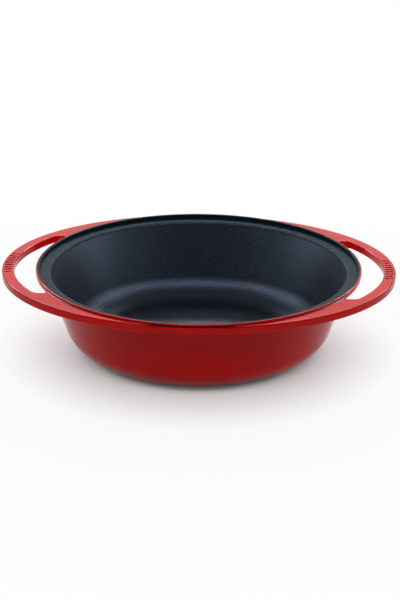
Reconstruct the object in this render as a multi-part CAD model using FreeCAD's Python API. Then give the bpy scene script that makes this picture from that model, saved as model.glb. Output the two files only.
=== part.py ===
"""Round enamelled cast iron skillet with two loop handles.

Millimetres, +Z up. The origin is the centre of the base on the surface it stands on, and the handles
lie along X. The iron is one casting: a deep dished bowl and an oval flange round its mouth, which
widens to a loop handle at each side. It is kept as a bowl and two handles that meet face to face.
Fused to it are the coats that are not the red of the outside: a black lining in the bowl, a bare
ground coat on the lip and ledge, and one on the base.
"""
import FreeCAD
import Part
import math
import os

# Bowl
height = 80.0            # surface to the top of the lip
lip_radius = 152.0       # outside of the lip
wall = 4.0               # finished wall and floor, coats included
draft = 18.4             # lean of the wall from upright, degrees
wall_inset = 10.5        # lip to the wall at the underside of the flange
corner_radius = 33.3     # outside sweep from the wall to the base
foot_width = 19.0        # ring that stands on the surface
foot_rise = 0.8          # hollow of the base inside that ring

# Lip, and the ledge that a lid would sit on
lip_width = 3.7
lip_face = 4.6           # upright outside face of the lip, where no flange covers it
underside_slope = 30.0   # underside of the lip back to the wall, degrees from level
ledge_depth = 3.5        # top of the lip down to the ledge
ledge_fall = 0.9
lip_bevel = 0.8
ledge_bevel = 1.2
iron_bevel = 0.5         # the same corners of the iron, under their coat

# Flange and loop handles
reach = 31.8             # each loop beyond the lip
shoulder = 1.4           # flange beyond the lip at the front and back
flange_drop = 1.8        # top of the lip down to the flange
flange_thick = 7.0
bar_width = 11.2         # grip bar of a loop, from its opening to its edge
opening_length = 156.0
opening_corner = 8.0
opening_root = 4.0       # fillet where an end of the opening meets the lip
flange_bevel = 1.0       # both edges of the flange and of its openings
root_x = 100.0           # where a handle grows out of the bowl's flange

# Cross flutes on top of each grip bar
flute_count = 9
flute_pitch = 6.0
flute_length = 8.6
flute_width = 2.4
flute_depth = 0.7

# Enamel
coat = 0.4
lining_drop = 6.5        # top of the lip down to the top of the black lining
red_overlap = 1.2        # red of the outside on top of the lip, in from its edge

LEVEL = 0.05             # how near a height or a radius an edge counts as lying at it
MARGIN = 20.0            # how far cutting tools run past what they cut

flange_top = height - flange_drop
flange_under = flange_top - flange_thick
half_long = lip_radius + reach
half_short = lip_radius + shoulder
tool_low = flange_under - MARGIN
tool_tall = flange_thick + 2 * MARGIN
slope = math.tan(math.radians(draft))
outer_share = math.sqrt(1 - (opening_length / 2 / (half_short - bar_width)) ** 2)
end_outer = (half_long - bar_width) * outer_share
end_width = end_outer - math.sqrt(lip_radius ** 2 - (opening_length / 2) ** 2)
fillet_share = min(1.0, end_width / (opening_corner + opening_root))
corner_fillet = opening_corner * fillet_share     # both fillets fit on an end of the opening
root_fillet = opening_root * fillet_share


def vec(x, y, z):
    return FreeCAD.Vector(x, y, z)


def corner_cut(before, here, after, radius, bevel):
    """Where the two sides of a corner stop, and what joins them there."""
    back = (before - here).normalize()
    ahead = (after - here).normalize()
    if bevel:
        first, last = here + back * bevel, here + ahead * bevel
        return first, last, Part.LineSegment(first, last)
    if radius:
        half = back.getAngle(ahead) / 2
        first = here + back * (radius / math.tan(half))
        last = here + ahead * (radius / math.tan(half))
        middle = (back + ahead).normalize()
        top = here + middle * (radius / math.sin(half) - radius)
        return first, last, Part.Arc(first, top, last)
    return here, here, None


def revolved(corners):
    """Solid of revolution from corners (radius, height, fillet, bevel) of half its section."""
    points = [vec(corner[0], 0, corner[1]) for corner in corners]
    cuts = []
    for i, (_, _, radius, bevel) in enumerate(corners):
        after = points[(i + 1) % len(points)]
        cuts.append(corner_cut(points[i - 1], points[i], after, radius, bevel))
    edges = []
    for (_, last, joint), (start, _, _) in zip(cuts, cuts[1:] + cuts[:1]):
        if joint:
            edges.append(joint.toShape())
        edges.append(Part.LineSegment(last, start).toShape())
    face = Part.Face(Part.Wire(edges))
    return face.revolve(vec(0, 0, 0), vec(0, 0, 1), 360)


def wall_radius(z, depth=0.0):
    """Radius of the wall at height z, depth in from its outside."""
    outside = lip_radius - wall_inset + (z - flange_under) * slope
    return outside - depth / math.cos(math.radians(draft))


def base_radius():
    """Radius of the flat of the base, where it turns up into the sweep."""
    half_corner = math.radians(90 + draft) / 2
    return wall_radius(0) - corner_radius / math.tan(half_corner)


def bowl_outside():
    """All that the outer surface of the bowl encloses, as if it held no cavity."""
    lip_low = height - lip_face
    fall = math.tan(math.radians(underside_slope))
    under_low = (lip_low - fall * (lip_radius - wall_radius(0))) / (1 - fall * slope)
    foot_inner = base_radius() - foot_width
    return revolved([
        (0, foot_rise, 0, 0),
        (foot_inner - foot_rise, foot_rise, 0, 0),
        (foot_inner, 0, 0, 0),
        (wall_radius(0), 0, corner_radius, 0),
        (wall_radius(under_low), under_low, 0, 0),
        (lip_radius, lip_low, 0, lip_bevel),
        (lip_radius, height, 0, lip_bevel),
        (0, height, 0, 0),
    ])


def air(depth):
    """The space in and above the bowl, down to depth under the finished surface of its coats."""
    inner = wall_radius(0, wall - depth)
    floor = wall - depth
    step = lip_radius - lip_width + depth
    ledge_high = height - ledge_depth - depth
    ledge_low = ledge_high - ledge_fall
    ledge_end = wall_radius(ledge_low, wall - depth)
    crown = height - depth
    on_lip, on_ledge = (iron_bevel, iron_bevel) if depth else (lip_bevel, ledge_bevel)
    corners = [
        (0, floor, 0, 0),
        (inner + floor * slope, floor, corner_radius - wall + depth, 0),
        (ledge_end, ledge_low, 0, on_ledge),
        (step, ledge_high, 0, 0),
        (step, crown, 0, on_lip),
        (half_long + MARGIN, height, 0, 0),
        (half_long + MARGIN, height + MARGIN, 0, 0),
        (0, height + MARGIN, 0, 0),
    ]
    if depth:
        seam = lip_radius - red_overlap
        corners[-3:-3] = [(seam, crown, 0, 0), (seam, height, 0, 0)]
    return revolved(corners)


def foot_layer():
    """The layer at the surface that the coat of the base fills, out to the edge of the flat."""
    foot_inner = base_radius() - foot_width
    return revolved([
        (0, -MARGIN, 0, 0),
        (base_radius(), -MARGIN, 0, 0),
        (base_radius(), coat, 0, 0),
        (foot_inner, coat, 0, 0),
        (foot_inner - foot_rise, foot_rise + coat, 0, 0),
        (0, foot_rise + coat, 0, 0),
    ])


def oval(long_half, short_half, low, thick):
    edge = Part.Ellipse(vec(0, 0, low), long_half, short_half).toShape()
    return Part.Face(Part.Wire(edge)).extrude(vec(0, 0, thick))


def to_left(shape):
    """The mirror image of a right-hand shape, on the left."""
    return shape.mirror(vec(0, 0, 0), vec(1, 0, 0))


def inside_lip():
    """Cylinder of the lip's outside, turned so that its seam is clear of the right-hand opening."""
    round_bar = Part.makeCylinder(lip_radius, tool_tall, vec(0, 0, tool_low))
    return round_bar.rotate(vec(0, 0, 0), vec(0, 0, 1), 180)


def opening_slab(start, half_width):
    return Part.makeBox(half_long, 2 * half_width, tool_tall, vec(start, -half_width, tool_low))


def corner_edges(tool, at_lip):
    """Upright edges of an opening's tool, either those at the lip or the others."""
    found = []
    for edge in tool.Edges:
        start = edge.Vertexes[0]
        on_lip = abs(math.hypot(start.X, start.Y) - lip_radius) < LEVEL
        if edge.BoundBox.ZLength > flange_thick and on_lip == at_lip:
            found.append(edge)
    return found


def finger_opening():
    """Tool for the right-hand opening, from the lip out to a line alongside the flange's edge."""
    tool = oval(half_long - bar_width, half_short - bar_width, tool_low, tool_tall)
    tool = tool.common(opening_slab(0, opening_length / 2)).cut(inside_lip())
    tool = tool.makeFillet(corner_fillet, corner_edges(tool, False))
    return tool.makeFillet(root_fillet, corner_edges(tool, True))


def under_lip():
    """Tool that clears the same opening back under the lip, between the fillets at its ends."""
    share = lip_radius / (lip_radius + root_fillet)
    return opening_slab(root_x, (opening_length / 2 - root_fillet) * share).common(inside_lip())


def flutes():
    """V-grooves across the top of the right-hand grip bar, each square to the bar."""
    half = flute_width / 2
    profile = [vec(0, -half, 0), vec(0, 0, -flute_depth), vec(0, half, 0), vec(0, 0, half)]
    wire = Part.makePolygon(profile + profile[:1])
    groove = Part.Face(wire).extrude(vec(flute_length, 0, 0))
    middle_long = half_long - bar_width / 2
    middle_short = half_short - bar_width / 2
    placed = []
    for i in range(flute_count):
        y = (i - (flute_count - 1) / 2) * flute_pitch
        x = middle_long * math.sqrt(1 - (y / middle_short) ** 2)
        lean = math.atan2(y / middle_short ** 2, x / middle_long ** 2)
        turn = FreeCAD.Rotation(vec(0, 0, 1), math.degrees(lean))
        start = turn.multVec(vec(-flute_length / 2, 0, 0)) + vec(x, y, flange_top)
        one = groove.copy()
        one.Placement = FreeCAD.Placement(start, turn)
        placed.append(one)
    return placed


def flange():
    """The oval plate round the bowl, with its openings, bevelled edges and fluted grips."""
    opening = finger_opening()
    plate = oval(half_long, half_short, flange_under, flange_thick)
    plate = plate.cut([opening, to_left(opening)])
    level_edges = [edge for edge in plate.Edges if edge.BoundBox.ZLength < LEVEL]
    plate = plate.makeChamfer(flange_bevel, level_edges)
    right = [under_lip()] + flutes()
    return plate.cut(right + [to_left(tool) for tool in right])


def castings():
    """The casting as poured, parted into the bowl with its flange and the left and right handles."""
    solid_bowl = bowl_outside()
    plate = flange()
    depth = 2 * half_long
    beyond = Part.makeBox(half_long, depth, height, vec(root_x, -half_long, 0))
    between = Part.makeBox(2 * root_x, depth, height, vec(-root_x, -half_long, 0))
    right = plate.common(beyond).cut(solid_bowl)
    bowl = solid_bowl.fuse(plate.common(between)).removeSplitter()
    return bowl.cut([air(coat), foot_layer()]), to_left(right), right


def dark_coats():
    """The black lining, the coat of the lip and ledge above it, and the coat of the base."""
    skin = air(coat).cut(air(0))
    below = Part.makeCylinder(lip_radius, height - lining_drop)
    base = bowl_outside().common(foot_layer())
    return skin.common(below), skin.cut(below), base


def main():
    bowl, left, right = castings()
    lining, rim, base = dark_coats()
    nodes = {
        "bowl_casting": bowl,
        "left_handle_casting": left,
        "right_handle_casting": right,
        "interior_enamel": lining,
        "rim_enamel": rim,
        "base_enamel": base,
    }
    os.makedirs("parts", exist_ok=True)
    for name, shape in nodes.items():
        print(name, len(shape.Solids), shape.isValid(), round(shape.Volume))
        shape.exportStep(f"parts/{name}.step")


main()
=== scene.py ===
import bpy
import math
from mathutils import Matrix, Vector
from mathutils.geometry import delaunay_2d_cdt


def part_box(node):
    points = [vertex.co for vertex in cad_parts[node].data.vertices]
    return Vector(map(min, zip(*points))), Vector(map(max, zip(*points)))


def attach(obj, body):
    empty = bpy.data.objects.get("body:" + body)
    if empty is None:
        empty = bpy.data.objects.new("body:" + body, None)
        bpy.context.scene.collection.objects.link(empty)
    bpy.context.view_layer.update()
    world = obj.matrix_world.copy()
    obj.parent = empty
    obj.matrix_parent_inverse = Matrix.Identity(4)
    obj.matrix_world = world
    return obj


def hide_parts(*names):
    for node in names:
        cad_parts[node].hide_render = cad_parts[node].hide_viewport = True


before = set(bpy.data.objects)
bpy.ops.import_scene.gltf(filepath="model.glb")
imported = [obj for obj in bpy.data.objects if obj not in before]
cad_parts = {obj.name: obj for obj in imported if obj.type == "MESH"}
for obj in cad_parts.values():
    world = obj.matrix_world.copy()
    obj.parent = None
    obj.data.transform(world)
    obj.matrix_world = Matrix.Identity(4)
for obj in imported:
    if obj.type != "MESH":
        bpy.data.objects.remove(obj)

bl_info = {
    "name": "Enamelled Skillet",
    "version": (1, 0, 0),
    "blender": (4, 5, 0),
    "location": "3D View > Sidebar > Skillet",
    "description": "Enamels a packed skillet, with true rounds, and sets it in a studio",
    "category": "Add Mesh",
}

BOWL_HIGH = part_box("bowl_casting")[1]
HANDLE_LOW, HANDLE_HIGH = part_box("right_handle_casting")

# Metres, unless the comment says otherwise
SAG = 0.00003            # how far a face may lie off the true round of a section
WIDEST_TURN = 15         # most that a round turns from one row of faces to the next, degrees
SAME_PLACE = 0.00001     # corners nearer than this are one corner
TINY = 1e-6              # angles in radians, and shares, nearer than this are the same
HALVINGS = 50            # of the range in which a value is sought
LEAN_STEP = 0.0001       # up and down, to find the lean of a surface
FLUTE_STEP = 0.001       # the same in a flute, as a share of its length or width

# Columns of faces in a quarter of the pan
LIP_COLUMNS = 36         # along the lip beside half an opening
ROOT_COLUMNS = 8         # in the part of an opening's root where its rounds die out
ROOT_END_COLUMNS = 4     # in the rest of that root
SIDE_COLUMNS = 50        # along the lip where the flange joins it
FRONT_COLUMNS = 12       # where the flange is too narrow for its full rounds
GRIP_COLUMNS = 60        # along the outer edge of the flange
BAR_COLUMNS = 30         # along the inner edge of a grip bar

COVE_ROWS = 5            # in a hollow round, and one more in an edge's round
FLUTE_ROWS = 14          # along a flute
FLUTE_COLUMNS = 8        # across it
FLUTE_END = 0.16         # share of a flute's length in which each end rises to the bar

# Painted shade and painted dark reflections on the red, from 0 to 1: how much darker its colour is
# made
NARROW_SHADE = 1.0             # at the front and back, where the flange is narrow
CREASE_SHADE = 0.9       # middle of the crease beside the lip
EDGE_SHADE = 0.45        # middle of an edge's round
FOOT_SHADE = 0.8         # foot of the bowl
FOOT_FADE = 0.014        # height up to which the foot's painted shade fades out
FLUTE_SHADE = 2.0    # the painted shade is full halfway down a flute
LEDGE_HIGHLIGHT = 3.0      # how fast the painted highlight on the ground coat grows as the ledge's edge turns down


# ---- sizes and colours ----

def length(name, description, default):
    return bpy.props.FloatProperty(
        name=name, description=description, default=default, min=0, unit="LENGTH", precision=4)


def angle(name, description, degrees):
    return bpy.props.FloatProperty(
        name=name, description=description, default=math.radians(degrees), subtype="ANGLE")


class SkilletSizes(bpy.types.PropertyGroup):
    height: length("Height", "Surface to the top of the lip", BOWL_HIGH.z)
    lip_radius: length("Lip radius", "Outside of the lip", 0.152)
    half_long: length("Half length", "Middle to the outside of a handle", HANDLE_HIGH.x)
    half_short: length("Half width", "Middle to the edge of the flange at the front", BOWL_HIGH.y)
    flange_top: length("Flange top", "Surface to the top of the flange", HANDLE_HIGH.z)
    flange_under: length("Flange underside", "Surface to the underside of the flange", HANDLE_LOW.z)
    wall: length("Wall", "Finished wall and floor", 0.004)
    coat: length("Coat", "Thickness of the dark coats", 0.0004)
    wall_inset: length("Wall inset", "Lip to the wall at the underside of the flange", 0.0105)
    sweep: length("Sweep", "Outside round from the wall to the base", 0.0333)
    lip_width: length("Lip width", "Width of the lip", 0.0037)
    lip_face: length("Lip face", "Upright outside of the lip beside an opening", 0.0046)
    lip_round: length("Lip round", "Rounds of the lip", 0.001)
    ledge_depth: length("Ledge depth", "Top of the lip down to the ledge", 0.0035)
    ledge_fall: length("Ledge fall", "Slope of the ledge towards the bowl", 0.0009)
    step_fillet: length("Step fillet", "Fillet where the ledge meets the lip", 0.0006)
    ledge_round: length("Ledge round", "Round from the ledge into the bowl", 0.0018)
    red_overlap: length("Red overlap", "Red on top of the lip, in from its edge", 0.0012)
    lining_drop: length("Lining drop", "Top of the lip down to the matt lining", 0.0065)
    foot_width: length("Foot width", "Ring that the pan stands on", 0.019)
    foot_rise: length("Foot rise", "Hollow of the base inside its foot", 0.0008)
    bar_width: length("Bar width", "Grip bar, from the opening to its edge", 0.0112)
    opening_length: length("Opening length", "Finger opening, front to back", 0.156)
    opening_corner: length("Opening corner", "Corner of an opening at the bar", 0.008)
    opening_root: length("Opening root", "Fillet of an opening at the lip", 0.004)
    edge_round: length("Edge round", "Rounds of the flange and its openings", 0.0012)
    crease: length("Crease", "Width of the enamel pooled between flange and lip", 0.0014)
    under_fillet: length("Under fillet", "From the flange's underside into the wall", 0.006)
    flute_pitch: length("Flute pitch", "Spacing of the flutes across the grip", 0.006)
    flute_length: length("Flute length", "Across the bar", 0.0082)
    flute_width: length("Flute width", "Along the bar", 0.0028)
    flute_depth: length("Flute depth", "Below the top of the bar", 0.001)
    flutes: bpy.props.IntProperty(name="Flutes", description="On each grip", default=9, min=0)
    draft: angle("Draft", "Lean of the wall from upright", 18.4)
    under_slope: angle("Lip underside", "Slope of the underside of the lip from level", 30)


# ---- closed surfaces ----

class Skin:
    """A closed surface in the making. Faces share their corners, and each keeps its own normals."""

    def __init__(self):
        self.places, self.known = [], {}
        self.faces, self.normals = [], []
        self.painted_shares = {}

    def corner(self, place):
        key = tuple(round(value / SAME_PLACE) for value in place)
        if key not in self.known:
            self.known[key] = len(self.places)
            self.places.append(place)
        return self.known[key]

    def face(self, corners):
        """Adds a face from (place, normal) corners and turns it to face as its normals do."""
        ring = [(self.corner(place), normal) for place, normal in corners]
        ring = [item for i, item in enumerate(ring) if item[0] != ring[i - 1][0]]
        if len({index for index, _ in ring}) < 3:
            return
        places = [self.places[index] for index, _ in ring]
        across = Vector()
        for first, second in zip(places[1:], places[2:]):
            across += (first - places[0]).cross(second - places[0])
        if across.dot(sum((normal for _, normal in ring), Vector())) < 0:
            ring.reverse()
        self.faces.append([index for index, _ in ring])
        self.normals += [normal for _, normal in ring]

    def sheet(self, grid, mirrors=((1, 1),), depth=None):
        """Faces between the neighbours of a grid of (place, normal), and its mirror images.

        depth(row, column), from 0 to 1, is how much painted light its colour gets there: painted
        shade on the red, a painted highlight on the rim coat.
        """
        for flip_x, flip_y in mirrors:
            flip = Vector((flip_x, flip_y, 1))
            rows = [[(place * flip, normal * flip) for place, normal in row] for row in grid]
            if depth:
                for r, row in enumerate(rows):
                    for c, (place, _) in enumerate(row):
                        self.painted_shares[self.corner(place)] = depth(r, c)
            for low, high in zip(rows, rows[1:]):
                for i in range(len(low) - 1):
                    self.face([low[i], low[i + 1], high[i + 1], high[i]])

    def level(self, loops, up, mirrors):
        """Fills the level area inside the first loop of places and outside the others."""
        normal = Vector((0, 0, up))
        places, owners, edges = [], [], []
        for number, loop in enumerate(loops):
            first = len(places)
            places += loop
            owners += [number] * len(loop)
            edges += [(first + i, first + (i + 1) % len(loop)) for i in range(len(loop))]
        _, _, triangles, sources, _, _ = delaunay_2d_cdt(
            [place.xy for place in places], edges, [], 1, SAME_PLACE / 100)
        for triangle in triangles:
            corners = [sources[i][0] for i in triangle]
            if owners[corners[0]] and len({owners[i] for i in corners}) == 1:
                continue    # inside one of the holes
            for flip_x, flip_y in mirrors:
                flip = Vector((flip_x, flip_y, 1))
                self.face([(places[i] * flip, normal) for i in corners])

    def made(self, name, material):
        mesh = bpy.data.meshes.new(name)
        mesh.from_pydata(self.places, [], self.faces)
        mesh.shade_smooth()
        mesh.normals_split_custom_set([normal.normalized() for normal in self.normals])
        if mesh.validate():
            raise RuntimeError(f"{name} came out with faults")
        mesh.materials.append(material)
        # Painted light at each corner: painted shade on the red, a painted highlight on the rim
        # coat
        if self.painted_shares:
            depth = mesh.attributes.new("painted_light_share", "FLOAT", "POINT")
            for index, value in self.painted_shares.items():
                depth.data[index].value = value
        shown = bpy.data.objects.new(name, mesh)
        bpy.context.scene.collection.objects.link(shown)
        return shown


QUARTERS = ((1, 1), (-1, 1), (1, -1), (-1, -1))
HALVES = ((1, 1), (-1, 1))


def vec2(x, y):
    return Vector((x, y))


def upright(plan, up):
    return Vector((plan.x, plan.y, up))


def spread(start, stop, count):
    return [start + (stop - start) * i / count for i in range(count + 1)]


def solved(wanted, low, high):
    """Where wanted(value), which is below zero at low and above it at high, passes zero."""
    for _ in range(HALVINGS):
        middle = (low + high) / 2
        low, high = (middle, high) if wanted(middle) < 0 else (low, middle)
    return high


def rows_for(bend, radius):
    """Rows of faces that a round of that radius needs to turn by bend."""
    finest = 2 * math.acos(1 - SAG / radius) if radius > SAG else math.pi
    return math.ceil(abs(bend) / min(finest, math.radians(WIDEST_TURN)) - TINY)


def section(corners, closed=False):
    """Points (out, up, normal out, normal up) of a line through corners (out, up, fillet).

    It is walked with the solid on its left and the air on its right.
    """
    line = []
    for i, (out, up, fillet) in enumerate(corners):
        here = vec2(out, up)
        before = here - vec2(*corners[i - 1][:2])
        after = vec2(*corners[(i + 1) % len(corners)][:2]) - here
        if not closed and i == 0:
            before = after
        if not closed and i == len(corners) - 1:
            after = before
        before, after = before.normalized(), after.normalized()
        start = math.atan2(-before.x, before.y)
        bend = math.remainder(math.atan2(-after.x, after.y) - start, 2 * math.pi)
        side = 1 if bend > 0 else -1
        start_at = here - before * fillet * math.tan(abs(bend) / 2)
        centre = start_at - side * fillet * vec2(math.cos(start), math.sin(start))
        turns = [start] if abs(bend) < TINY else spread(
            start, start + bend, rows_for(bend, fillet) if fillet else 1)
        for turn in turns:
            facing = vec2(math.cos(turn), math.sin(turn))
            place = centre + side * fillet * facing
            line.append((place.x, place.y, facing.x, facing.y))
    return line + line[:1] if closed else line


def turned(line, angles):
    """Grid of a section line turned about the upright axis, with a column at each angle."""
    grid = []
    for out, up, normal_out, normal_up in line:
        grid.append([(
            Vector((out * math.cos(turn), out * math.sin(turn), up)),
            Vector((normal_out * math.cos(turn), normal_out * math.sin(turn), normal_up)),
        ) for turn in angles])
    return grid


# ---- shape of the pan ----

def wall_radius(sizes, up, depth=0.0):
    """Radius of the wall at height up, depth in from its outside."""
    at_flange = sizes.lip_radius - sizes.wall_inset
    outside = at_flange + (up - sizes.flange_under) * math.tan(sizes.draft)
    return outside - depth / math.cos(sizes.draft)


def base_radius(sizes):
    """Radius of the flat of the base, where it turns up into the sweep."""
    return wall_radius(sizes, 0) - sizes.sweep / math.tan((math.pi / 2 + sizes.draft) / 2)


def under_lip(sizes, up):
    """Radius of the sloping underside of the lip at height up."""
    low = sizes.height - sizes.lip_face
    return sizes.lip_radius - (low - up) / math.tan(sizes.under_slope)


def wall_top(sizes):
    """Height at which the wall meets the sloping underside of the lip."""
    fall = math.tan(sizes.under_slope)
    low = sizes.height - sizes.lip_face
    at_wall = low - fall * (sizes.lip_radius - wall_radius(sizes, 0))
    return at_wall / (1 - fall * math.tan(sizes.draft))


def foot_line(sizes, up):
    """Corners of the base's underside raised by up, from its middle to the edge of its flat."""
    foot = base_radius(sizes) - sizes.foot_width
    hollow = sizes.foot_rise + up
    return [(0, hollow, 0), (foot - sizes.foot_rise, hollow, 0),
            (foot, up, 0), (base_radius(sizes), up, 0)]


def cavity(sizes, depth):
    """Corners of the inside, depth under its finish, from the top of the lip to the middle."""
    inside = sizes.wall - depth
    step = sizes.lip_radius - sizes.lip_width + depth
    ledge_high = sizes.height - sizes.ledge_depth - depth
    ledge_low = ledge_high - sizes.ledge_fall
    floor_edge = wall_radius(sizes, 0, inside) + inside * math.tan(sizes.draft)
    return [
        (step, sizes.height - depth, sizes.lip_round),
        (step, ledge_high, sizes.step_fillet),
        (wall_radius(sizes, ledge_low, inside), ledge_low, sizes.ledge_round),
        (floor_edge, inside, sizes.sweep - inside),
        (0, inside, 0),
    ]


def oval(sizes, turn, inset=0.0):
    """Point of the flange's oval, or of one inset from it, and the way it faces."""
    long_half, short_half = sizes.half_long - inset, sizes.half_short - inset
    place = vec2(long_half * math.cos(turn), short_half * math.sin(turn))
    return place, vec2(place.x / long_half ** 2, place.y / short_half ** 2).normalized()


def root_centre(sizes, lip):
    """Centre of the fillet between an opening's end and the lip, where the lip has that radius."""
    half = sizes.opening_length / 2 - sizes.opening_root
    return vec2(math.sqrt((lip + sizes.opening_root) ** 2 - half ** 2), half)


def root(sizes, lip, share):
    """Point of that fillet, from the lip at share 0 to the opening's end at 1, and its facing."""
    centre = root_centre(sizes, lip)
    at_lip = math.pi + math.atan2(centre.y, centre.x)
    turn = at_lip + (math.pi / 2 - at_lip) * share
    facing = -vec2(math.cos(turn), math.sin(turn))
    return centre - sizes.opening_root * facing, facing


def lip_angles(sizes, lip):
    """Angles of the columns beside half an opening, where the lip has that radius."""
    centre = root_centre(sizes, lip)
    return spread(0, math.atan2(centre.y, centre.x), LIP_COLUMNS)


def opening_columns(sizes):
    """Rest of an opening's edge, from its end at the bar's corner to the middle of the bar."""
    radius = sizes.opening_corner
    level = sizes.opening_length / 2 - radius

    def centre(turn):
        place, facing = oval(sizes, turn, sizes.bar_width)
        return place - radius * facing

    start = solved(lambda turn: centre(turn).y - level, 0, math.pi / 2)
    middle = centre(start)
    facing = oval(sizes, start, sizes.bar_width)[1]
    stop = math.atan2(facing.y, facing.x)
    columns = []
    for turn in spread(math.pi / 2, stop, rows_for(math.pi / 2 - stop, radius)):
        out = vec2(math.cos(turn), math.sin(turn))
        columns.append((middle + radius * out, -out))
    for turn in spread(start, 0, BAR_COLUMNS)[1:]:
        place, facing = oval(sizes, turn, sizes.bar_width)
        columns.append((place, -facing))
    return columns


class FlangeFace:
    """A quarter of the flange's top or underside, at height level and facing up or down.

    It meets the lip at radius lip with a hollow round of width crease. A column of its edges is
    (place, facing, share): where the flange is narrow, a round keeps that share of its size.
    Those of the outer edge lie at turns of the oval, the same ones for both faces.
    """

    def __init__(self, sizes, level, up, lip, crease, turns=None):
        self.level, self.up, self.lip, self.crease = level, up, lip, crease
        self.round = sizes.edge_round
        quarter = math.pi / 2

        def over(column):
            return self.fitting(*column) - 1

        full = solved(lambda share: over(root(sizes, lip, share)), 0, 1)
        self.root_shares = spread(0, full, ROOT_COLUMNS) + spread(full, 1, ROOT_END_COLUMNS)[1:]
        self.roots = [self.kept(root(sizes, lip, share)) for share in self.root_shares]
        self.rim = self.roots + [(*column, 1) for column in opening_columns(sizes)]
        self.narrow = over(oval(sizes, quarter)) < 0
        start = quarter
        if self.narrow:
            start = solved(lambda turn: -over(oval(sizes, turn)), 0, quarter)
        self.turns = turns or spread(0, start, GRIP_COLUMNS) + spread(
            start, quarter, FRONT_COLUMNS)[1:]
        self.edge = [self.kept(oval(sizes, turn)) for turn in self.turns]
        self.places, self.shares = self.beside_lip()
        self.angles = [math.atan2(place.y, place.x) for place in self.places]

    def fitting(self, place, facing):
        """How many times its size an edge's round could be before it meets the crease."""
        # Solves |place - share * round * facing| = lip + share * crease for share
        square = self.round ** 2 - self.crease ** 2
        once = 2 * self.round * place.dot(facing) + 2 * self.lip * self.crease
        rest = max(place.dot(place) - self.lip ** 2, 0)
        return 2 * rest / (once + math.sqrt(once ** 2 - 4 * square * rest))

    def kept(self, column):
        return *column, min(1, self.fitting(*column))

    def inner(self, column):
        """Where the round of an edge meets the level face."""
        place, facing, share = column
        return place - self.round * share * facing

    def rounded(self, columns, at):
        """Grid of the round from this face to the upright edge.

        at(i, height) is the place of column i of the edge at that height.
        """
        grid = []
        for turn in spread(0, math.pi / 2, COVE_ROWS + 1):
            row = []
            for i, (_, facing, share) in enumerate(columns):
                radius = self.round * share
                height = self.level - self.up * radius * (1 - math.cos(turn))
                out = at(i, height) - radius * (1 - math.sin(turn)) * facing
                normal = upright(facing * math.sin(turn), self.up * math.cos(turn))
                row.append((upright(out, height), normal))
            grid.append(row)
        return grid

    def beside_lip(self):
        """Places and shares of the columns along the lip, from an opening's root to the front."""
        columns = self.roots[:ROOT_COLUMNS + 1]
        front = self.edge[GRIP_COLUMNS:] if self.narrow else []
        places, ends = ([self.inner(column) for column in part] for part in (columns, front))
        ends = ends or [vec2(0, self.lip + self.crease)]
        start = math.atan2(places[-1].y, places[-1].x)
        stop = math.atan2(ends[0].y, ends[0].x)
        between = [(self.lip + self.crease) * vec2(math.cos(turn), math.sin(turn))
                   for turn in spread(start, stop, SIDE_COLUMNS)[1:-1]]
        shares = [share for _, _, share in columns] + [1] * len(between)
        shares += [share for _, _, share in front] or [1]
        return places + between + ends, shares

    def outline(self):
        """Loop round the level face of the right-hand half."""
        edge, along = self.edge, self.places[ROOT_COLUMNS + 1:]
        if self.narrow:
            edge, along = edge[:GRIP_COLUMNS + 1], along[:SIDE_COLUMNS - 1]
        half = [self.inner(column) for column in edge] + along[::-1]
        half += [self.inner(column) for column in self.rim[ROOT_COLUMNS:]]
        loop = half + [vec2(place.x, -place.y) for place in half[::-1]]
        return [upright(place, self.level) for i, place in enumerate(loop)
                if (place - loop[i - 1]).length > SAME_PLACE]


def cove(face, start, corner, stop):
    """Grid of the hollow round from start by the sharp corner to stop, each (out, up).

    It has the face's columns along the lip, and a column keeps its share of the size.
    """
    grid = []
    corner = vec2(*corner)
    to_start, to_stop = vec2(*start) - corner, vec2(*stop) - corner
    for step in spread(0, 1, COVE_ROWS):
        row = []
        for place, share in zip(face.places, face.shares):
            at = corner + to_start * share * (1 - step) ** 2 + to_stop * share * step ** 2
            way = (to_stop * step - to_start * (1 - step)) * (share or 1)
            out = place.normalized()
            row.append((upright(out * at.x, at.y), upright(out * way.y, -way.x)))
        grid.append(row)
    return grid


def flute_surface(sizes, along, across):
    """Depth of a flute at shares of its length and width from its middle, and its two slopes.

    It is a V with soft sides, which rises to the bar at its ends.
    """
    def depth(along, across):
        end = min(1, (0.5 - abs(along)) / FLUTE_END)
        side = math.cos(math.pi * across)
        return sizes.flute_depth * side ** 2 * math.sin(math.pi / 2 * end) ** 2

    if abs(along) == 0.5 or abs(across) == 0.5:     # its rim, which lies level with the bar
        return depth(along, across), 0, 0
    deeper = depth(along + FLUTE_STEP, across) - depth(along - FLUTE_STEP, across)
    deeper_across = depth(along, across + FLUTE_STEP) - depth(along, across - FLUTE_STEP)
    return (depth(along, across), deeper / (2 * FLUTE_STEP * sizes.flute_length),
            deeper_across / (2 * FLUTE_STEP * sizes.flute_width))


def flute_patches(sizes):
    """Grid of each flute across the right-hand grip, and the loop round it."""
    inset = sizes.bar_width / 2
    patches = []
    for i in range(sizes.flutes):
        y = (i - (sizes.flutes - 1) / 2) * sizes.flute_pitch
        middle, bar = oval(sizes, math.asin(y / (sizes.half_short - inset)), inset)
        side = vec2(-bar.y, bar.x)
        grid = []
        for along in spread(-0.5, 0.5, FLUTE_ROWS):
            row = []
            for across in spread(-0.5, 0.5, FLUTE_COLUMNS):
                depth, slope, slope_across = flute_surface(sizes, along, across)
                out = bar * along * sizes.flute_length + side * across * sizes.flute_width
                row.append((upright(middle + out, sizes.flange_top - depth),
                            upright(bar * slope + side * slope_across, 1)))
            grid.append(row)
        loop = grid[0] + [row[-1] for row in grid[1:]]
        loop += grid[-1][-2::-1] + [row[0] for row in grid[-2:0:-1]]
        patches.append((grid, [place for place, _ in loop]))
    return patches


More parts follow.
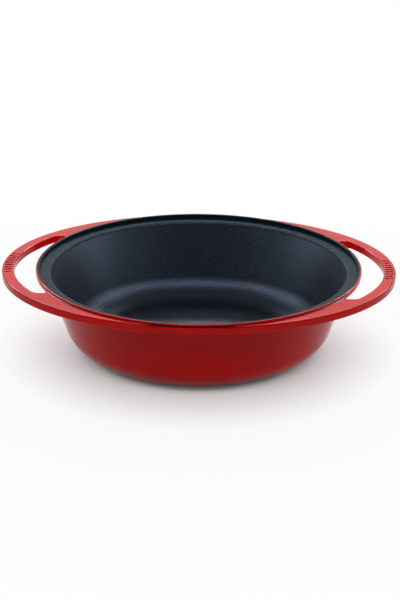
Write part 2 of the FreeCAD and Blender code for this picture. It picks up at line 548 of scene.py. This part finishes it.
def edge_shade(row, share=1):
    """Painted shade of the red in a row of an edge's round, at a column that keeps that share of
    it.
    """
    part = max(0, 1 - row / (COVE_ROWS + 1))
    return NARROW_SHADE if share < 1 and part > 0 else EDGE_SHADE * math.sin(math.pi * part)


def strip(row, ring):
    """Grid from the places of a row to a ring, all facing as the ring does."""
    return [[(place, normal) for (place, _), (_, normal) in zip(row, ring)], ring]


class Shell:
    """The casting under its coats: bowl, flange and both loop handles as one closed surface.

    It is made as a quarter of the pan, or a right-hand half, and its mirror images.
    """

    def __init__(self, sizes):
        self.sizes, self.skin = sizes, Skin()
        slope = sizes.under_slope
        reach = sizes.under_fillet * math.tan(slope / 2)
        self.lip_high = sizes.height - sizes.lip_round        # where the lip's top round ends
        self.under = under_lip(sizes, sizes.flange_under)     # radius where the lip's slope ends
        self.joined = (self.under - reach * math.cos(slope),
                       sizes.flange_under - reach * math.sin(slope))
        self.lip_line = section([
            (*self.joined, 0), (self.under, sizes.flange_under, 0),
            (sizes.lip_radius, sizes.height - sizes.lip_face, sizes.lip_round),
            (sizes.lip_radius, sizes.flange_top, 0), (sizes.lip_radius, self.lip_high, 0),
        ])
        self.top = FlangeFace(sizes, sizes.flange_top, 1, sizes.lip_radius, sizes.crease)
        self.low = FlangeFace(sizes, sizes.flange_under, -1, self.under, reach, self.top.turns)

    def flange_edge(self):
        """Outer edge of the flange, with both its rounds."""
        def at(i, height):
            return self.top.edge[i][0]

        grid = self.top.rounded(self.top.edge, at) + self.low.rounded(self.low.edge, at)[::-1]
        # The rounds of the flange's edge get painted shade, full where the flange is narrow
        self.skin.sheet(
            grid, QUARTERS, lambda row, column: edge_shade(row, self.top.edge[column][2]))

    def lip_beside_opening(self):
        """Outside of the lip, from the fillet under it up to the round of its top."""
        rows = []
        for point in self.lip_line:
            rows += turned([point], lip_angles(self.sizes, max(point[0], self.under)))
        self.skin.sheet(rows, QUARTERS)

    def lip_at(self, height):
        """Radius of the lip's outside at a height."""
        for (out, up, _, _), (next_out, next_up, _, _) in zip(self.lip_line, self.lip_line[1:]):
            if up <= height <= next_up and next_up > up:
                return out + (next_out - out) * (height - up) / (next_up - up)
        return self.sizes.lip_radius

    def rim_at(self, i, height):
        """Place of column i of an opening's edge. Its root follows the slope under the lip."""
        if i >= len(self.top.roots):
            return self.top.rim[i][0]
        lip = self.lip_at(height)
        mix = (self.sizes.lip_radius - lip) / (self.sizes.lip_radius - self.under)
        high, low = self.top.root_shares[i], self.low.root_shares[i]
        return root(self.sizes, lip, high + (low - high) * mix)[0]

    def rim_point(self, i, share_up):
        """Point of column i of an opening's edge, at a share of the height between its rounds."""
        under, top = self.sizes.flange_under, self.sizes.flange_top
        _, facing, kept_top = self.top.rim[i]
        high_end = top - self.top.round * kept_top
        low_end = under + self.low.round * self.low.rim[i][2]
        height = low_end + (high_end - low_end) * share_up
        place, lean = self.rim_at(i, height), 0
        if i < len(self.top.roots):
            facing = (root_centre(self.sizes, self.lip_at(height)) - place).normalized()
            lower, upper = max(height - LEAN_STEP, under), min(height + LEAN_STEP, top)
            lean = facing.dot(self.rim_at(i, upper) - self.rim_at(i, lower)) / (upper - lower)
        return upright(place, height), upright(facing, -lean)

    def opening_edge(self):
        """Edge of an opening, with both its rounds and the wall between them."""
        # The top round of an opening's edge gets painted shade
        self.skin.sheet(self.top.rounded(self.top.rim, self.rim_at), QUARTERS,
                        lambda row, column: edge_shade(row))
        self.skin.sheet(self.low.rounded(self.low.rim, self.rim_at), QUARTERS)
        under, top = self.sizes.flange_under, self.sizes.flange_top
        wall = []
        for _, up, _, _ in self.lip_line:
            if under - SAME_PLACE < up < top + SAME_PLACE:
                share_up = (up - under) / (top - under)
                wall.append([self.rim_point(i, share_up) for i in range(len(self.top.rim))])
        self.skin.sheet(wall, QUARTERS)

    def crease_beside_lip(self):
        """Crease where the top of the flange meets the lip, and the lip's face above it."""
        lip, level = self.sizes.lip_radius, self.sizes.flange_top

        # Painted shade in the crease, over all of it where the flange is narrow
        def depth(row, column):
            middle = math.sin(math.pi * (row + 0.5) / (COVE_ROWS + 1))
            return NARROW_SHADE if self.top.shares[column] < 1 else CREASE_SHADE * middle

        crease = cove(self.top,
                      (lip + self.sizes.crease, level), (lip, level), (lip, self.lip_high))
        self.skin.sheet(crease, QUARTERS, depth)
        ring = turned([(lip, self.lip_high, 1, 0)], self.top.angles)[0]
        self.skin.sheet(strip(crease[-1], ring), QUARTERS)

    def fillet_under_flange(self):
        """Fillet where the underside of the flange meets the slope under the lip."""
        level, slope = self.low.level, self.sizes.under_slope
        start_of_face = self.under + self.low.crease
        fillet = cove(self.low, self.joined, (self.under, level), (start_of_face, level))
        self.skin.sheet(fillet, QUARTERS)
        line = [(*self.joined, math.sin(slope), -math.cos(slope))]
        ring = turned(line, self.low.angles)[0]
        self.skin.sheet(strip(fillet[0], ring)[::-1], QUARTERS)

    def level_faces(self):
        """Level top and underside of the flange, and the flutes in its top."""
        patches = flute_patches(self.sizes)
        # Painted shade in the flutes, darker the deeper they are
        shade_per_depth = FLUTE_SHADE / self.sizes.flute_depth
        for grid, _ in patches:
            self.skin.sheet(grid, HALVES, lambda row, column: min(
                1, shade_per_depth * (self.top.level - grid[row][column][0].z)))
        for face, holes in ((self.top, [loop for _, loop in patches]), (self.low, [])):
            self.skin.level([face.outline()] + holes, face.up, HALVES)

    def bowl(self):
        """Bowl below the flange, the top of the lip, and the inside under the dark coats."""
        sizes = self.sizes
        high = wall_top(sizes)
        outside = section(foot_line(sizes, sizes.coat) + [
            (base_radius(sizes), 0, 0), (wall_radius(sizes, 0), 0, sizes.sweep),
            (wall_radius(sizes, high), high, sizes.under_fillet), (*self.joined, 0),
        ])
        angles = lip_angles(sizes, self.under)[:-1] + self.low.angles
        # Painted shade at the foot of the bowl, fading out with height
        self.skin.sheet(turned(outside, angles), QUARTERS, lambda row, column: max(
            0, FOOT_SHADE * (1 - outside[row][1] / FOOT_FADE)))
        seam = sizes.lip_radius - sizes.red_overlap
        inside = section([
            (sizes.lip_radius, self.lip_high, 0),
            (sizes.lip_radius, sizes.height, sizes.lip_round),
            (seam, sizes.height, 0), (seam, sizes.height - sizes.coat, 0),
        ] + cavity(sizes, sizes.coat))
        angles = lip_angles(sizes, sizes.lip_radius)[:-1] + self.top.angles
        self.skin.sheet(turned(inside, angles), QUARTERS)


def red_shell(sizes):
    shell = Shell(sizes)
    shell.flange_edge()
    shell.lip_beside_opening()
    shell.opening_edge()
    shell.crease_beside_lip()
    shell.fillet_under_flange()
    shell.level_faces()
    shell.bowl()
    return shell.skin


def coat_between(finished, iron, painted_highlight=None):
    """Closed ring of coat between its finished surface and the iron, each given from the same end.

    Its last argument, a function of (up, facing up), gives from 0 to 1 how much painted highlight
    the coat gets at a point of its section.
    """
    line = section(finished + iron[::-1], closed=True)
    angles = spread(0, 2 * math.pi, 4 * (LIP_COLUMNS + ROOT_COLUMNS + SIDE_COLUMNS))
    skin = Skin()
    skin.sheet(turned(line, angles),
               depth=painted_highlight and (lambda row, column: painted_highlight(line[row][1], line[row][3])))
    return skin


def black_lining(sizes):
    """The matt coat on the floor and wall of the bowl, up to its seam below the ledge."""
    seam = sizes.height - sizes.lining_drop

    def half(depth):
        return [(wall_radius(sizes, seam, sizes.wall - depth), seam, 0)] + cavity(sizes, depth)[3:]

    return coat_between(half(0), half(sizes.coat))


def rim_coat(sizes):
    """The ground coat left bare on the lip, its inner face, the ledge and just below it."""
    seam = sizes.lip_radius - sizes.red_overlap
    low = sizes.height - sizes.lining_drop
    ledge_low = sizes.height - sizes.ledge_depth - sizes.ledge_fall

    # Painted highlight on the round where the ledge's edge turns down into the bowl
    def painted_highlight(up, facing_up):
        below_ledge = low + sizes.coat < up < ledge_low + sizes.coat / 2
        return min(1.0, LEDGE_HIGHLIGHT * (1 - facing_up)) if below_ledge and facing_up > 0 else 0.0

    def half(depth):
        return [(seam, sizes.height - depth, 0)] + cavity(sizes, depth)[:3] + [
            (wall_radius(sizes, low, sizes.wall - depth), low, 0)]

    return coat_between(half(0), half(sizes.coat), painted_highlight)


def base_coat(sizes):
    """The ground coat on the foot and in the shallow hollow inside it."""
    return coat_between(foot_line(sizes, 0), foot_line(sizes, sizes.coat))


# ---- finishes ----

def hex_colour(name, description, code):
    return bpy.props.StringProperty(
        name=name, description=f"sRGB hex colour of {description}", default=code)


def factor(name, description, default):
    return bpy.props.FloatProperty(
        name=name, description=description, default=default, min=0, max=1, subtype="FACTOR")


class SkilletFinish(bpy.types.PropertyGroup):
    red: hex_colour("Red enamel", "the outside", "#D00609")
    black: hex_colour("Black lining", "the cooking surface", "#131519")
    ground: hex_colour("Ground coat", "the bare rim and base", "#0B212A")
    # Painted highlight colour along the round of the ledge's edge
    ground_highlight: hex_colour("Ground coat on edges", "the ground coat where it ran thin", "#4C5866")
    paper: hex_colour("Studio paper", "the floor", "#D8D8D8")
    paper_glow: factor("Paper whiteness", "How white the paper shows beside the pan", 0.92)
    red_roughness: factor("Red roughness", "How blurred the outside's reflections are", 0.09)
    black_roughness: factor("Lining roughness", "How blurred the lining's reflections are", 0.35)
    rim_roughness: factor("Rim roughness", "How blurred the bare rim's reflections are", 0.45)
    base_roughness: factor("Base roughness", "How blurred the bare base's reflections are", 0.5)


def linear(code):
    """Linear colour, with alpha, of an sRGB hex code such as "#8F1014"."""
    made = []
    for start in (1, 3, 5):
        part = int(code[start:start + 2], 16) / 255
        made.append(part / 12.92 if part <= 0.04045 else ((part + 0.055) / 1.055) ** 2.4)
    return (*made, 1.0)


def shade(code, times):
    """The linear colour of a hex code, made that many times as light."""
    return (*(min(1, part * times) for part in linear(code)[:3]), 1.0)


def add_node(tree, kind, settings=None, inputs=None):
    """Adds a node. An input takes a number, a colour or another node's output."""
    node = tree.nodes.new(kind)
    for name, value in (settings or {}).items():
        setattr(node, name, value)
    for name, value in (inputs or {}).items():
        if isinstance(value, bpy.types.NodeSocket):
            tree.links.new(value, node.inputs[name])
        else:
            node.inputs[name].default_value = value
    return node


def new_material(name):
    made = bpy.data.materials.new(name)
    made.use_nodes = True
    made.node_tree.nodes.clear()
    return made, made.node_tree


def noise(tree, marks, detail, roughness=0.5):
    """Noise whose marks are about that many millimetres apart on the piece."""
    place = add_node(tree, "ShaderNodeTexCoord").outputs["Object"]
    return add_node(tree, "ShaderNodeTexNoise", inputs={
        "Vector": place, "Scale": 1000 / marks, "Detail": detail,
        "Roughness": roughness}).outputs["Fac"]


def mottled(tree, marks, detail, low, high):
    """Colour that wanders between two, in soft marks that many millimetres apart."""
    ramp = add_node(tree, "ShaderNodeValToRGB", inputs={"Fac": noise(tree, marks, detail, 0.55)})
    ends = ramp.color_ramp.elements
    ends[0].position, ends[0].color = 0.35, low
    ends[1].position, ends[1].color = 0.65, high
    return ramp.outputs["Color"]


def wandering(tree, pattern, low, high):
    """Number that wanders between two as a noise does."""
    return faded(tree, pattern, 0.3, 0.7, low, high, "LINEAR")


def faded(tree, value, start, stop, low, high, way="SMOOTHSTEP"):
    """Number that goes from low to high as the value goes from start to stop."""
    return add_node(tree, "ShaderNodeMapRange", {"interpolation_type": way}, {
        "Value": value, "From Min": start, "From Max": stop,
        "To Min": low, "To Max": high}).outputs["Result"]


def combined(tree, operation, first, second):
    return add_node(tree, "ShaderNodeMath", {"operation": operation}, {
        0: first, 1: second}).outputs["Value"]


def raised(tree, pattern, strength, distance):
    """Normal of a surface that a noise raises by up to that distance in metres."""
    return add_node(tree, "ShaderNodeBump", inputs={
        "Strength": strength, "Distance": distance, "Height": pattern}).outputs["Normal"]


def by_painted_light(tree, colour, painted_colour):
    """The colour, mixed with a second one by the painted shade or painted highlight stored at each
    corner.
    """
    depth = add_node(tree, "ShaderNodeAttribute", {"attribute_name": "painted_light_share"})
    return add_node(tree, "ShaderNodeMixRGB", inputs={
        "Fac": depth.outputs["Fac"], "Color1": colour, "Color2": painted_colour}).outputs["Color"]


def principled(made, sockets):
    """Gives a material its shader, with those values and outputs on the shader's sockets."""
    shader = add_node(made.node_tree, "ShaderNodeBsdfPrincipled", inputs=sockets)
    add_node(made.node_tree, "ShaderNodeOutputMaterial", inputs={"Surface": shader.outputs["BSDF"]})
    return made


# An enamel is a glass, with an IOR of about 1.5. The IOR below is less or more where the real
# coat shines less or more strongly, and Specular Tint is the colour of its sheen.

def red_vitreous_enamel(finish):
    # Vitreous enamel, sprayed on iron and fired until it flows to a glass: deep even red under a
    # hard gloss and a very slight orange peel, with painted shade in creases, flutes, foot and
    # edges.
    made, tree = new_material("red_vitreous_enamel_fired_gloss")
    # The peel of a sprayed coat is 2 to 4 mm across
    peel = noise(tree, 3, 1.0, 0.4)
    # Cloudiness of the fired coat, in patches the width of a spray pass, 40 mm
    colour = mottled(tree, 40, 2.0, shade(finish.red, 0.94), shade(finish.red, 1.05))
    # Painted shade: darker in creases and flutes, at the foot, on edges and where the flange is
    # narrow
    colour = by_painted_light(tree, colour, shade(finish.red, 0.15))
    # Its gloss is a little duller in clouds 14 mm apart, where the glass flowed less
    gloss = wandering(
        tree, noise(tree, 14, 2.0), finish.red_roughness * 0.85, finish.red_roughness * 1.2)
    return principled(made, {
        "Base Color": colour, "Roughness": gloss, "IOR": 1.18,
        "Normal": raised(tree, peel, 0.05, 0.0004)})


def black_matt_enamel(finish):
    # Matt black enamel, fired with a rough frit so that it holds oil: blue-black, with a dry sheen
    # broken up by its grain.
    made, tree = new_material("black_matt_enamel_fired_grain")
    # The frit's grain is about 0.3 mm. It is drawn at 1.6 mm, as coarse as it needs to be to show.
    grain = noise(tree, 1.6, 2.0, 0.6)
    # Its frit melts unevenly, in specks 2.2 mm apart for the same reason
    colour = mottled(tree, 2.2, 3.0, shade(finish.black, 0.6), shade(finish.black, 1.5))
    dry = wandering(tree, grain, finish.black_roughness - 0.05, finish.black_roughness + 0.07)
    return principled(made, {
        "Base Color": colour, "Roughness": dry, "IOR": 1.78, "Specular Tint": linear("#C0D8FF"),
        "Normal": raised(tree, grain, 0.6, 0.0003)})


def ground_coat_enamel(finish, name, roughness):
    # Ground coat, the first enamel fired on the iron: blue-black, satin, with fine pits where gas
    # came out of the iron, and a cooler sheen than the lining's.
    made, tree = new_material(name)
    # Pits are 0.2 to 0.5 mm. They are drawn 1.5 mm apart, as coarse as they need to be to show.
    pits = noise(tree, 1.5, 3.0, 0.65)
    # Cloudy where iron dissolved into it, in patches 6 mm apart
    colour = mottled(tree, 6, 3.0, shade(finish.ground, 0.8), shade(finish.ground, 1.3))
    # Painted highlight: paler along the round of the ledge's edge
    colour = by_painted_light(tree, colour, linear(finish.ground_highlight))
    dry = wandering(tree, pits, roughness - 0.04, roughness + 0.06)
    return principled(made, {
        "Base Color": colour, "Roughness": dry, "IOR": 1.1, "Specular Tint": linear("#93D6FA"),
        "Normal": raised(tree, pits, 0.2, 0.0002)})


def seen_directly(tree, value):
    """The value to the eye, in gloss and through glass, and 0 to other rays."""
    path = add_node(tree, "ShaderNodeLightPath").outputs
    seen = combined(tree, "MAXIMUM", path["Is Camera Ray"], path["Is Glossy Ray"])
    seen = combined(tree, "MAXIMUM", seen, path["Is Transmission Ray"])
    return combined(tree, "MULTIPLY", seen, value)


def studio_paper(finish):
    # Seamless background paper: white, quite matt, with the faint tooth of uncoated stock.
    made, tree = new_material("studio_paper_uncoated_matt")
    # Paper's tooth is finer than 0.5 mm. It is drawn at 3 mm, as coarse as it needs to be to show.
    colour = mottled(tree, 3, 2.0, shade(finish.paper, 0.99), shade(finish.paper, 1.01))
    shader = add_node(tree, "ShaderNodeBsdfPrincipled", inputs={
        "Base Color": colour, "Roughness": 0.9, "IOR": 1.3})
    # To the eye, and in gloss and glass, the paper fades to plain white away from the pan, and
    # keeps the shadow beside it
    place = add_node(tree, "ShaderNodeTexCoord").outputs["Object"]
    reach = add_node(tree, "ShaderNodeVectorMath", {"operation": "LENGTH"}, {0: place})
    away = faded(tree, reach.outputs["Value"], 0.15, 0.6, finish.paper_glow, 1.0)
    shadow = add_node(tree, "ShaderNodeAmbientOcclusion", {"samples": 8}, {"Distance": 0.07})
    clear = combined(tree, "MULTIPLY", away, shadow.outputs["AO"])
    white = add_node(tree, "ShaderNodeEmission")
    both = add_node(tree, "ShaderNodeMixShader", inputs={
        0: seen_directly(tree, clear), 1: shader.outputs["BSDF"], 2: white.outputs["Emission"]})
    add_node(tree, "ShaderNodeOutputMaterial", inputs={"Surface": both.outputs["Shader"]})
    return made


# ---- studio ----

# Soft boxes that all face the bowl: place, width and height in metres, watts
LAMPS_FACE = Vector((0, 0, 0.05))
LAMPS = {
    "front_box": ((0, -1.2, 1.53), 2.6, 0.4, 12.0),
    "left_front_box": ((-1.45, -0.66, 1.2), 0.9, 0.45, 4.2),
    "right_front_box": ((1.45, -0.66, 1.2), 0.9, 0.45, 4.0),
    "top_box": ((0, 1.35, 1.5), 1.6, 0.3, 4.0),
    "back_box": ((0, 1.6, 1.14), 3.2, 0.3, 44.0),
    "horizon_box": ((0, 1.6, 0.7), 3.2, 0.6, 2.5),
    "left_box": ((-1.7, 0.3, 0.9), 0.8, 1.0, 4.0),
    "right_box": ((1.7, 0.3, 0.9), 0.8, 1.0, 4.5),
}

PAPER_RADIUS = 9.0       # reaches the skyline of any view, metres
PAPER_MIDDLE = 0.5       # ring of corners round the pan
PAPER_COLUMNS = 48

# Camera, measured from the middle of the lip
CAMERA_AWAY = 1.5        # metres
CAMERA_RIGHT = 0.001427
CAMERA_LOWER = 0.033663
CAMERA_DOWN = 21.166     # degrees
CAMERA_ROUND = 2.077     # from the front round to the right, degrees
CAMERA_ROLL = 0.403
CAMERA_LENS = 96.12      # mm


def add_lamp(name, place, width, height, watts):
    data = bpy.data.lights.new(name, "AREA")
    data.shape, data.size, data.size_y, data.energy = "RECTANGLE", width, height, watts
    lamp = bpy.data.objects.new(name, data)
    bpy.context.scene.collection.objects.link(lamp)
    lamp.visible_camera = False
    lamp.location = place
    lamp.rotation_mode = "QUATERNION"
    lamp.rotation_quaternion = (LAMPS_FACE - Vector(place)).to_track_quat("-Z", "Y")


def paper_floor(finish):
    """Round sheet of paper under the pan."""
    skin = Skin()
    line = [(out, 0, 0, 1) for out in (0, PAPER_MIDDLE, PAPER_RADIUS)]
    skin.sheet(turned(line, spread(0, 2 * math.pi, PAPER_COLUMNS)))
    return skin.made("studio_paper", studio_paper(finish))


def white_surround():
    """World that is white to the eye, and lights nothing but gloss.

    Gloss sees it white behind the pan, and fading to a dim room in front and a dim ceiling above.
    """
    world = bpy.data.worlds.new("white_surround")
    world.use_nodes = True
    tree = world.node_tree
    tree.nodes.clear()
    direction = add_node(tree, "ShaderNodeTexCoord").outputs["Generated"]
    facing = add_node(tree, "ShaderNodeSeparateXYZ", inputs={0: direction}).outputs
    behind = faded(tree, facing["Y"], -0.7, 0.3, 0.05, 1.0)
    below_ceiling = faded(tree, facing["Z"], 0.45, 0.75, 1.0, 0.25)
    room = combined(tree, "MULTIPLY", behind, below_ceiling)
    eye = add_node(tree, "ShaderNodeLightPath").outputs["Is Camera Ray"]
    shown = combined(tree, "MAXIMUM", eye, room)
    background = add_node(tree, "ShaderNodeBackground", inputs={
        "Color": (1, 1, 1, 1), "Strength": seen_directly(tree, shown)})
    add_node(tree, "ShaderNodeOutputWorld", inputs={"Surface": background.outputs["Background"]})
    return world


def add_camera(height):
    """A camera that looks down on the middle of the lip, at height, from the front."""
    turn = Matrix.Rotation(math.radians(CAMERA_ROUND), 3, "Z")
    turn @= Matrix.Rotation(math.radians(90 - CAMERA_DOWN), 3, "X")
    matrix = (turn @ Matrix.Rotation(math.radians(CAMERA_ROLL), 3, "Z")).to_4x4()
    place = turn @ Vector((CAMERA_RIGHT, -CAMERA_LOWER, CAMERA_AWAY))
    matrix.translation = place + Vector((0, 0, height))
    data = bpy.data.cameras.new("camera")
    data.lens = CAMERA_LENS
    camera = bpy.data.objects.new("camera", data)
    bpy.context.scene.collection.objects.link(camera)
    camera.matrix_world = matrix
    bpy.context.scene.camera = camera


# ---- operators ----

class SKILLET_OT_red_shell(bpy.types.Operator):
    """Red enamelled casting: bowl, flange and loop handles"""
    bl_idname = "skillet.red_shell"
    bl_label = "Red Shell"

    def execute(self, context):
        sizes, finish = context.scene.skillet_sizes, context.scene.skillet_finish
        piece = red_shell(sizes).made("red_enamelled_casting", red_vitreous_enamel(finish))
        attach(piece, "root")
        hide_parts("bowl_casting", "left_handle_casting", "right_handle_casting")
        return {"FINISHED"}


class SKILLET_OT_black_lining(bpy.types.Operator):
    """Matt black lining of the bowl"""
    bl_idname = "skillet.black_lining"
    bl_label = "Black Lining"

    def execute(self, context):
        sizes, finish = context.scene.skillet_sizes, context.scene.skillet_finish
        piece = black_lining(sizes).made("black_lining", black_matt_enamel(finish))
        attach(piece, "root")
        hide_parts("interior_enamel")
        return {"FINISHED"}


class SKILLET_OT_ground_coats(bpy.types.Operator):
    """Bare ground coat on the lip and ledge, and on the base"""
    bl_idname = "skillet.ground_coats"
    bl_label = "Ground Coats"

    def execute(self, context):
        sizes, finish = context.scene.skillet_sizes, context.scene.skillet_finish
        satin = ground_coat_enamel(finish, "ground_coat_enamel_satin", finish.rim_roughness)
        dull = ground_coat_enamel(finish, "ground_coat_enamel_dull", finish.base_roughness)
        rim = rim_coat(sizes).made("rim_coat", satin)
        base = base_coat(sizes).made("base_coat", dull)
        for piece, node, slot in ((rim, "rim_enamel", "rim_ground_coat"),
                                  (base, "base_enamel", "base_ground_coat")):
            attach(piece, "root")
            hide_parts(node)
        return {"FINISHED"}


class SKILLET_OT_studio(bpy.types.Operator):
    """White paper, soft boxes and camera"""
    bl_idname = "skillet.studio"
    bl_label = "Studio"

    def execute(self, context):
        scene = context.scene
        paper_floor(scene.skillet_finish)
        for name, lamp in LAMPS.items():
            add_lamp(name, *lamp)
        scene.world = white_surround()
        add_camera(scene.skillet_sizes.height)
        scene.view_settings.view_transform = "Standard"
        return {"FINISHED"}


class SKILLET_PT_panel(bpy.types.Panel):
    """Sizes and finishes of the skillet, and a button for each step"""
    bl_idname = "SKILLET_PT_panel"
    bl_label = "Enamelled Skillet"
    bl_space_type = "VIEW_3D"
    bl_region_type = "UI"
    bl_category = "Skillet"

    def draw(self, context):
        layout = self.layout
        for group in (context.scene.skillet_sizes, context.scene.skillet_finish):
            box = layout.box()
            for name in group.__annotations__:
                box.prop(group, name)
        for step in STEPS:
            layout.operator(step.bl_idname)


STEPS = (SKILLET_OT_red_shell, SKILLET_OT_black_lining, SKILLET_OT_ground_coats, SKILLET_OT_studio)
CLASSES = (SkilletSizes, SkilletFinish, *STEPS, SKILLET_PT_panel)


def register():
    for item in CLASSES:
        bpy.utils.register_class(item)
    bpy.types.Scene.skillet_sizes = bpy.props.PointerProperty(type=SkilletSizes)
    bpy.types.Scene.skillet_finish = bpy.props.PointerProperty(type=SkilletFinish)


def unregister():
    del bpy.types.Scene.skillet_finish
    del bpy.types.Scene.skillet_sizes
    for item in reversed(CLASSES):
        bpy.utils.unregister_class(item)


def main():
    register()
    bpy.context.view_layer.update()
    bpy.ops.skillet.red_shell()
    bpy.ops.skillet.black_lining()
    bpy.ops.skillet.ground_coats()
    bpy.ops.skillet.studio()


if __name__ == "__main__":
    main()
